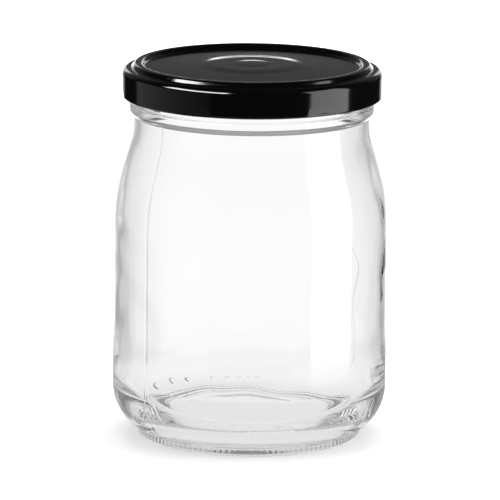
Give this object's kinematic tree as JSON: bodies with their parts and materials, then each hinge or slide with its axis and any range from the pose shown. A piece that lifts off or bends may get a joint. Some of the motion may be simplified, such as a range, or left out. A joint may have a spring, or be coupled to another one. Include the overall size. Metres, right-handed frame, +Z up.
{
  "type": "jam jar",
  "caption": "Empty clear glass jam jar with sloping shoulders, a raised base and a black twist-off metal lid screwed on.",
  "frame": {"origin": "centre of the ring the jar stands on, on the surface under it", "axes": "+Z up along the jar's axis; the jar is round, so X and Y are only turned so that the lid's lugs lie as made"},
  "size_m": [0.0902, 0.0902, 0.1233],
  "materials": {
    "clear_glass": "clear, moulded",
    "black_lacquer": "gloss lacquer on tinplate",
    "sealing_compound": "satin"
  },
  "bodies": {
    "root": {"glass_jar": "clear_glass", "lid": "black_lacquer", "lid_seal": "sealing_compound"}
  },
  "joints": []
}
